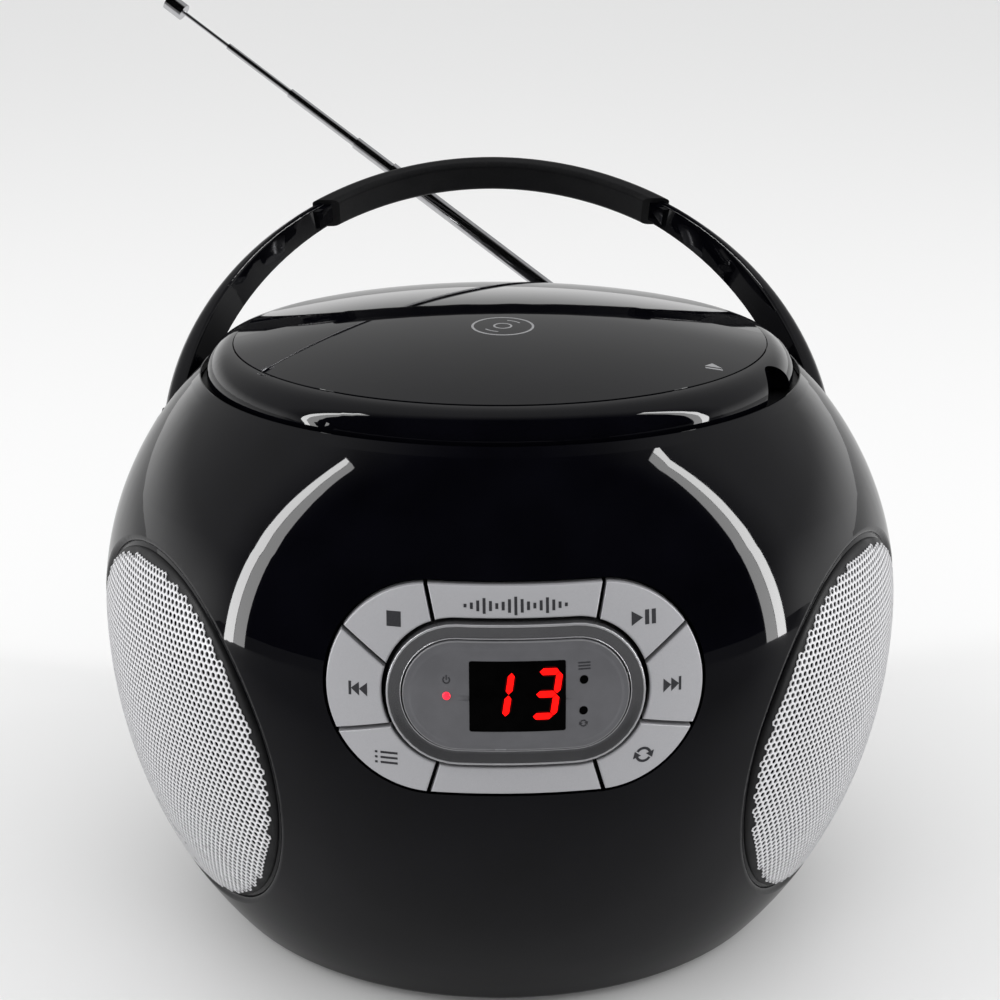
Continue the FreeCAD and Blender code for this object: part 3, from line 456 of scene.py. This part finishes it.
def make_grille_rim(axes, name):
    turns = [2 * math.pi * k / RIM_SIDES for k in range(RIM_SIDES)]
    verts, faces = [], []
    for r, off in GRILLE_RIM:
        ring = np.array([(r * math.cos(a), r * math.sin(a)) for a in turns])
        verts += [tuple(p) for p in on_ball_along(ring, axes, off)]
    for i in range(len(GRILLE_RIM)):
        faces += ring_quads(i * RIM_SIDES, (i + 1) % len(GRILLE_RIM) * RIM_SIDES, RIM_SIDES)
    mesh = fix_normals(mesh_from(verts, faces, name))
    new_piece(name, mesh, "root", MAT["matte_black"])


def ring_quads(start, after, sides):
    """Quads joining two rings of points, given where each ring starts."""
    quads = []
    for k in range(sides):
        j = (k + 1) % sides
        quads.append([start + k, start + j, after + j, after + k])
    return quads


def fix_normals(mesh):
    bm = bmesh.new()
    bm.from_mesh(mesh)
    bmesh.ops.recalc_face_normals(bm, faces=bm.faces)
    bm.to_mesh(mesh)
    bm.free()
    return mesh


# ---------------------------------------------------------------- display
def track(w, h, inset):
    """Outline of a stadium of half width w and half height h, moved inwards by inset."""
    steps, spans = 22, 12
    r, mid = h - inset, w - h
    ends = []
    for cx, start in ((mid, -90), (-mid, 90)):
        angles = [math.radians(start + 180 * k / steps) for k in range(steps + 1)]
        ends.append([(cx + r * math.cos(a), r * math.sin(a)) for a in angles])
    upper = [(mid - 2 * mid * k / spans, r) for k in range(1, spans)]
    lower = [(-u, -v) for u, v in upper]
    return ends[0] + upper + ends[1] + lower


def sweep_track(name, profile, w, h, mat, close=False):
    """Sweep a profile of (inset, height above the body) round a stadium outline, closed in if asked."""
    rings = [track(w, h, inset) for inset, _ in profile]
    m = len(rings[0])
    verts, faces = [], []
    for ring, (_, off) in zip(rings, profile):
        verts += [on_front(u, v, off) for u, v in ring]
    for i in range(len(rings) - 1):
        faces += ring_quads(i * m, (i + 1) * m, m)
    if close:
        rows, mid, off = 8, w - h, profile[-1][1]
        last = (len(rings) - 1) * m
        for row in range(1, rows + 1):
            shrink = 1 - row / (rows + 0.5)
            for u, v in rings[-1]:
                spine = max(-mid, min(mid, u))
                verts.append(on_front(spine + (u - spine) * shrink, v * shrink, off))
        for _ in range(rows):
            faces += ring_quads(last, last + m, m)
            last += m
        faces.append([last + k for k in range(m)])
    return new_piece(name, mesh_from(verts, faces, name, 50.0), "root", mat)


# profiles of (inset, height above the body)
BEZEL_PROFILE = (
    (0.0, -2.5), (0.0, 1.15), (0.06, 1.30), (0.50, 1.34), (0.60, 1.32), (1.2, 1.14), (1.9, 0.92),
    (2.6, 0.72), (3.1, 0.61), (3.40, 0.58), (3.46, 0.50), (3.48, 0.2))
# thin rings on the bezel's outer and inner rims, in that paler grey: painted highlight lines
BEZEL_OUTER_HIGHLIGHT = (
    (0.03, 1.00), (0.04, 1.30), (0.14, 1.43), (0.30, 1.48), (0.44, 1.45), (0.54, 1.36), (0.56, 1.20))
BEZEL_INNER_HIGHLIGHT = ((3.20, 0.55), (3.22, 0.68), (3.30, 0.74), (3.40, 0.72), (3.45, 0.60))
GLASS_PROFILE = (
    (0.0, -0.6), (0.0, 0.9), (0.08, 1.00), (0.22, 1.05), (0.40, 1.05), (1.20, 1.10), (1.30, 1.12),
    (1.75, 1.37), (1.90, WINDOW_FACE), (2.2, WINDOW_FACE))
# a thin ring round the window's edge in that lighter grey: a painted highlight line
WINDOW_HIGHLIGHT = ((0.02, 0.90), (0.03, 1.03), (0.12, 1.09), (0.26, 1.09), (0.34, 1.03))


def make_bezel():
    ring = sweep_track("bezel_ring", BEZEL_PROFILE, BEZEL_W, BEZEL_H, MAT["bezel_grey"])
    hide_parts("display_bezel")
    # the rims get painted highlight lines in a paler grey
    for name, profile in (("bezel_outer_painted_highlight", BEZEL_OUTER_HIGHLIGHT), ("bezel_inner_painted_highlight", BEZEL_INNER_HIGHLIGHT)):
        sweep_track(name, profile, BEZEL_W, BEZEL_H, MAT["painted_highlight_grey"])


def make_window():
    glass = sweep_track("display_glass", GLASS_PROFILE, WINDOW_W, WINDOW_H, MAT["smoke_window"],
                        close=True)
    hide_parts("display_window")
    # the glass's edge gets a painted highlight line in a lighter grey
    sweep_track("window_painted_highlight", WINDOW_HIGHLIGHT, WINDOW_W, WINDOW_H, MAT["window_painted_highlight"])


def on_glass(u, v, off):
    return on_front(u, v, WINDOW_FACE + off)


def make_display_marks():
    power_u, power_v, digit_v = -16.1, 4.1, 0.9

    def mark(name, loops, mat=MAT["print_dark"], high=PRINT, slot="matte_black"):
        return printed(name, loops, on_glass, "root", mat, high=high)

    mark("display_mask", [round_rect(-10.9, 11.3, -7.9, 8.5, 0.5)], MAT["display_black"], 0.06,
         "gloss_black")
    for name, u, lit in (("digit_one", -4.3, "bc"), ("digit_three", 6.75, "abcdg")):
        mark(name, seven_segment(u, digit_v, lit, 0.74), MAT["red_led"], 0.12, "red_led")
        # a wider emitting copy of each digit, laid under it, paints a glow round the segments
        mark(name + "_halo", seven_segment(u, digit_v, lit, 1.10), MAT["digit_halo"], 0.08, "red_led")
    mark("power_mark", arc_band(power_u, power_v, 0.62, 0.90, 125, 415) + [
        rect(-16.24, -15.96, power_v, 5.2)])
    mark("program_mark", [rect(14.2, 17.0, 6.1 + 0.7 * k, 6.4 + 0.7 * k) for k in range(3)])
    mark("repeat_mark", loop_icon(15.4, -6.5, 0.7))
    for name, u, v in (("program_dot", 15.5, 3.8), ("repeat_dot", 15.4, -3.4)):
        mark(name, [circle(u, v, 1.0)], MAT["display_black"], 0.07, "gloss_black")
    led_dome("power_led_dome", power_u, 0.4, 0.95, 0.55)


def seven_segment(u, v, lit, t):
    """Slanted segments of one digit centred at (u, v); t is half their thickness."""
    hh, hw, gap, slant = 5.15, 2.40, 0.14, 0.155

    def lean(points):
        return [(u + x + y * slant, v + y) for x, y in points]

    def bar(y):
        return lean([(-hw + gap, y), (-hw + t + gap, y + t), (hw - t - gap, y + t), (hw - gap, y),
                     (hw - t - gap, y - t), (-hw + t + gap, y - t)])

    def post(x, y0, y1):
        return lean([(x, y0 + gap), (x + t, y0 + t + gap), (x + t, y1 - t - gap), (x, y1 - gap),
                     (x - t, y1 - t - gap), (x - t, y0 + t + gap)])

    shapes = {"a": bar(hh), "d": bar(-hh), "g": bar(0), "b": post(hw, 0, hh), "c": post(hw, -hh, 0),
              "e": post(-hw, -hh, 0), "f": post(-hw, 0, hh)}
    return [shapes[s] for s in lit]


def loop_icon(u, v, r):
    """Two arrows chasing each other round a ring."""
    line, head_w, head_l = 0.14, 0.45, 0.7
    bands, heads = [], []
    for start in (20, 200):
        bands += arc_band(u, v, r - line, r + line, start, start + 130, 10)
        a = math.radians(start)
        x, y = round_point(u, v, r, a)
        tx, ty = math.sin(a), -math.cos(a)
        nx, ny = math.cos(a), math.sin(a)
        heads.append([(x + head_w * nx, y + head_w * ny), (x - head_w * nx, y - head_w * ny),
                      (x + head_l * tx, y + head_l * ty)])
    return bands + heads


def led_dome(name, u, v, r, rise):
    verts, faces = [], []
    sides, rows = 24, 7
    for i in range(rows):
        a = math.pi / 2 * i / rows
        for k in range(sides):
            b = 2 * math.pi * k / sides
            verts.append(on_glass(u + r * math.cos(a) * math.cos(b), v + r * math.cos(a) * math.sin(b),
                                  rise * math.sin(a)))
    verts.append(on_glass(u, v, rise))
    for i in range(rows - 1):
        faces += ring_quads(i * sides, (i + 1) * sides, sides)
    top = (rows - 1) * sides
    faces += [[top + k, top + (k + 1) % sides, len(verts) - 1] for k in range(sides)]
    new_piece(name, mesh_from(verts, faces, name), "root", MAT["power_red"])


# ---------------------------------------------------------------- marks on the keys
SOUND_BARS = (0.5, 0.9, 1.5, 2.2, 1.4, 0.8, 1.2, 1.9, 2.6, 1.9, 1.2, 0.8, 1.4, 2.2, 1.5, 0.9, 0.5)
BAR_PITCH, BAR_HALF, BAR_ROW_V, BAR_UNIT = 1.45, 0.34, 20.2, 0.75


def make_key_marks():
    def mark(name, loops, body):
        printed(name, loops, on_keys, body, MAT["print_dark"])

    mark("stop_mark", [rect(-29.65, -26.35, 14.9, 18.2)], "key_stop")
    low, high = 14.4, 17.6
    play = [(26.8, high), (26.8, low), (29.5, 16.0)]
    mark("play_pause_mark", [play, rect(30.0, 31.0, low, high), rect(31.6, 32.6, low, high)],
         "key_play_pause")
    tip, half, length = 38.2, 1.6, 1.9
    for s, name in ((-1, "previous"), (1, "next")):
        shapes = [rect(*sorted((s * 38.15, s * 38.75)), -half, half)]
        for k in range(2):
            far = tip - length * k
            shapes.append([(s * (far - length), -half), (s * far, 0.0), (s * (far - length), half)])
        mark(name + "_mark", shapes, "key_" + name)
    rows = (-15.2, -16.5, -17.8)
    lines = [rect(-31.6, -27.6, v, v + 0.55) for v in rows]
    dots = [rect(-32.9, -32.3, v, v + 0.55) for v in rows]
    mark("program_key_mark", lines + dots, "key_program")
    repeat_u, repeat_v, scale = 29.9, -16.4, 2.3
    icon = [[(a * scale + repeat_u, b * scale + repeat_v) for a, b in q] for q in loop_icon(0, 0, 0.72)]
    mark("repeat_key_mark", icon, "key_repeat")
    bars = []
    for k, size in enumerate(SOUND_BARS):
        u = (k - (len(SOUND_BARS) - 1) / 2) * BAR_PITCH
        reach = size * BAR_UNIT
        bars.append(rect(u - BAR_HALF, u + BAR_HALF, BAR_ROW_V - reach, BAR_ROW_V + reach))
    mark("sound_bars", bars, "root")


# ---------------------------------------------------------------- marks on the lid
def on_lid(x, y, off):
    return (x, y, DISC_EDGE_Z + DOME_RISE - DOME_R + math.sqrt((DOME_R + off) ** 2 - x * x - y * y))


def make_lid_marks():
    def mark(name, loops):
        printed(name, loops, on_lid, "lid", MAT["print_pale"], low=-0.02, high=0.03)

    y = DISC_MARK_Y
    disc = arc_band(0, y, 7.6, 8.2, 0, 360, 48) + arc_band(0, y, 2.0, 2.5, 0, 360, 24)
    disc += arc_band(0, y, 5.0, 5.4, 30, 75, 8) + arc_band(0, y, 5.0, 5.4, 210, 255, 8)
    mark("disc_mark", disc)
    cx, cy = round_point(0.0, 0.0, EJECT_R, math.radians(EJECT_AZIMUTH))
    half = 2.2
    triangle = [(cx - half, cy + 0.3), (cx + half, cy + 0.3), (cx, cy + 2.8)]
    mark("eject_mark", [triangle, rect(cx - half, cx + half, cy - 1.2, cy - 0.5)])


# ---------------------------------------------------------------- back panel
def on_back(u, v, off):
    """The back control panel, seen from behind: u to the right of a viewer standing there."""
    return (-u, BACK_FACE_Y + off, BACK_Z + v)


def make_dial_number(name, text, u):
    """A number of the tuning dial, as thin solid figures centred at u."""
    curve = bpy.data.curves.new(name, "FONT")
    curve.body = text
    curve.size = NUMBER_SIZE
    curve.align_x = "CENTER"
    curve.align_y = "CENTER"
    curve.extrude = 0.03
    curve.resolution_u = 3
    temp = bpy.data.objects.new(name + "_source", curve)
    bpy.context.scene.collection.objects.link(temp)
    dg = bpy.context.evaluated_depsgraph_get()
    mesh = bpy.data.meshes.new_from_object(temp.evaluated_get(dg))
    bpy.data.objects.remove(temp)
    for v in mesh.vertices:
        v.co = to_world(on_back(u + v.co.x, NUMBER_V + v.co.y, 0.03 + v.co.z))
    mesh.flip_normals()
    new_piece(name, mesh, "root", MAT["print_pale"])


def scale_ticks(u):
    """Ticks round one knob, every fifth one longer."""
    ticks = []
    half = 0.16
    for k in range(11):
        a = math.radians(225 - 27 * k)
        ca, sa = math.cos(a), math.sin(a)
        r0 = KNOB_R + 1.5
        r1 = r0 + (1.9 if k % 5 == 0 else 1.1)
        ends = ((r0, -half), (r0, half), (r1, half), (r1, -half))
        ticks.append([(u + r * ca + w * sa, r * sa - w * ca) for r, w in ends])
    return ticks


def make_back_marks():
    def mark(name, loops):
        printed(name, loops, on_back, "root", MAT["print_pale"])

    mark("volume_scale", scale_ticks(KNOB_X))
    mark("tuning_scale", scale_ticks(-KNOB_X))
    for k, text in enumerate(DIAL_NUMBERS):
        make_dial_number("dial_number_%d" % (k + 1), text, NUMBER_LEFT + NUMBER_STEP * k)
    lines = []
    for k in range(DIAL_LINES):
        u = DIAL_LEFT + DIAL_STEP * k
        lines.append(rect(u - 0.06, u + 0.06, 6.7, 7.4 if k % 4 else 8.0))
    mark("dial_lines", lines)
    mark("slider_marks", [rect(-8.3, -7.7, -10.8, -9.4), rect(-0.3, 0.3, -8.8, -7.4),
                          rect(7.7, 8.3, -10.8, -9.4)])
    mark("headphone_mark", arc_band(22.0, -6.0, 1.2, 1.5, 0, 180, 12) + [
        rect(20.4, 21.1, -7.4, -5.9), rect(22.9, 23.6, -7.4, -5.9)])


# ---------------------------------------------------------------- camera, light and floor, in metres
STRIP_FAR = 1.45
STRIP_BOTTOM, STRIP_TOP = 0.0, 2.2
STRIP_START = (0.060, -0.085)      # place on the body, right of centre, that the right strips face
WORLD_TONE = 0.92                  # strength of the world where it is seen or lights the scene
WORLD_FADE = (-0.30, 0.10)         # where its reflected dark front ends, as the Y part of a direction
FLOOR_TONE = 0.86                  # the floor where it is seen
FLOOR_FADE = (-0.30, 0.10)         # where its reflected tone changes, along Y
FLOOR_HALF = 12.0


def direction(azimuth, elevation):
    """From the ball towards a viewer: azimuth 0 is the front (-Y), positive towards +X."""
    a, e = math.radians(azimuth), math.radians(elevation)
    return Vector((math.sin(a) * math.cos(e), -math.cos(a) * math.cos(e), math.sin(e)))


def make_camera():
    cam = bpy.data.cameras.new("camera")
    cam.lens = LENS_MM
    cam.shift_y = SHIFT_UP
    obj = bpy.data.objects.new("camera", cam)
    bpy.context.scene.collection.objects.link(obj)
    back = direction(VIEW_AZIMUTH, VIEW_ELEVATION)
    obj.location = Vector((0, 0, CENTRE_HEIGHT * MM)) + back * VIEW_DISTANCE
    obj.rotation_euler = (-back).to_track_quat("-Z", "Y").to_euler()
    bpy.context.scene.camera = obj


def strip_light(name, side, azimuth, width, radiance):
    """An upright strip of light at one side, given by its direction."""
    low, high = STRIP_BOTTOM, STRIP_TOP
    light = bpy.data.lights.new(name, "AREA")
    light.shape = "RECTANGLE"
    light.size = width
    light.size_y = high - low
    light.energy = radiance * math.pi * light.size * light.size_y
    obj = bpy.data.objects.new(name, light)
    bpy.context.scene.collection.objects.link(obj)
    start = Vector((side * STRIP_START[0], STRIP_START[1], 0.0))
    way = direction(side * azimuth, 0.0)
    obj.location = start + way * STRIP_FAR + Vector((0, 0, (low + high) / 2))
    obj.rotation_euler = (-way).to_track_quat("-Z", "Y").to_euler()
    obj.visible_camera = False


def make_lights():
    for side, name in ((-1, "left"), (1, "right")):
        strip_light(name + "_strip", side, 80.8, 0.085, 17.0)
        strip_light(name + "_strip_edge", side, 77.0, 0.10, 6.0)


def make_world():
    """Plain where it is seen; in reflections dark in front and brightest near the horizon elsewhere."""
    world = bpy.data.worlds.new("world")
    world.use_nodes = True
    nodes, links = world.node_tree.nodes, world.node_tree.links
    back = nodes["Background"]
    back.inputs["Color"].default_value = grey(1.0)
    coord = nodes.new("ShaderNodeTexCoord")
    split = nodes.new("ShaderNodeSeparateXYZ")
    links.new(coord.outputs["Generated"], split.inputs["Vector"])
    sides = smooth_range(nodes, links, split.outputs["Y"], WORLD_FADE, (0.0, 0.45))
    low = smooth_range(nodes, links, split.outputs["Z"], (0.30, 0.0), (0.85, 2.3))
    studio = nodes.new("ShaderNodeMath")
    studio.operation = "MULTIPLY"
    links.new(sides, studio.inputs[0])
    links.new(low, studio.inputs[1])
    seen_or_reflected(nodes, links, WORLD_TONE, studio.outputs["Value"], back.inputs["Strength"])
    bpy.context.scene.world = world
    bpy.context.scene.view_settings.view_transform = "Standard"


def make_floor():
    """A plain pale floor, darker in reflections so that the gloss body does not mirror it whole."""
    bm = bmesh.new()
    bmesh.ops.create_grid(bm, x_segments=8, y_segments=8, size=FLOOR_HALF)
    mesh = bpy.data.meshes.new("floor")
    bm.to_mesh(mesh)
    bm.free()
    floor = bpy.data.objects.new("floor", mesh)
    bpy.context.scene.collection.objects.link(floor)
    m, nodes, links, p = node_material("floor")
    coord = nodes.new("ShaderNodeTexCoord")
    split = nodes.new("ShaderNodeSeparateXYZ")
    links.new(coord.outputs["Object"], split.inputs["Vector"])
    tone = smooth_range(nodes, links, split.outputs["Y"], FLOOR_FADE, (0.14, 0.60))
    seen_or_reflected(nodes, links, FLOOR_TONE, tone, p.inputs["Base Color"])
    p.inputs["Roughness"].default_value = 0.7
    p.inputs["Specular IOR Level"].default_value = 0.1
    paint(floor, m)


make_camera()
paint_nodes()
make_grilles()
resmoothed("panel_trim", "root", "silver_key")
make_bezel()
make_window()
make_display_marks()
make_key_marks()
make_lid_marks()
make_back_marks()
make_lights()
make_world()
make_floor()
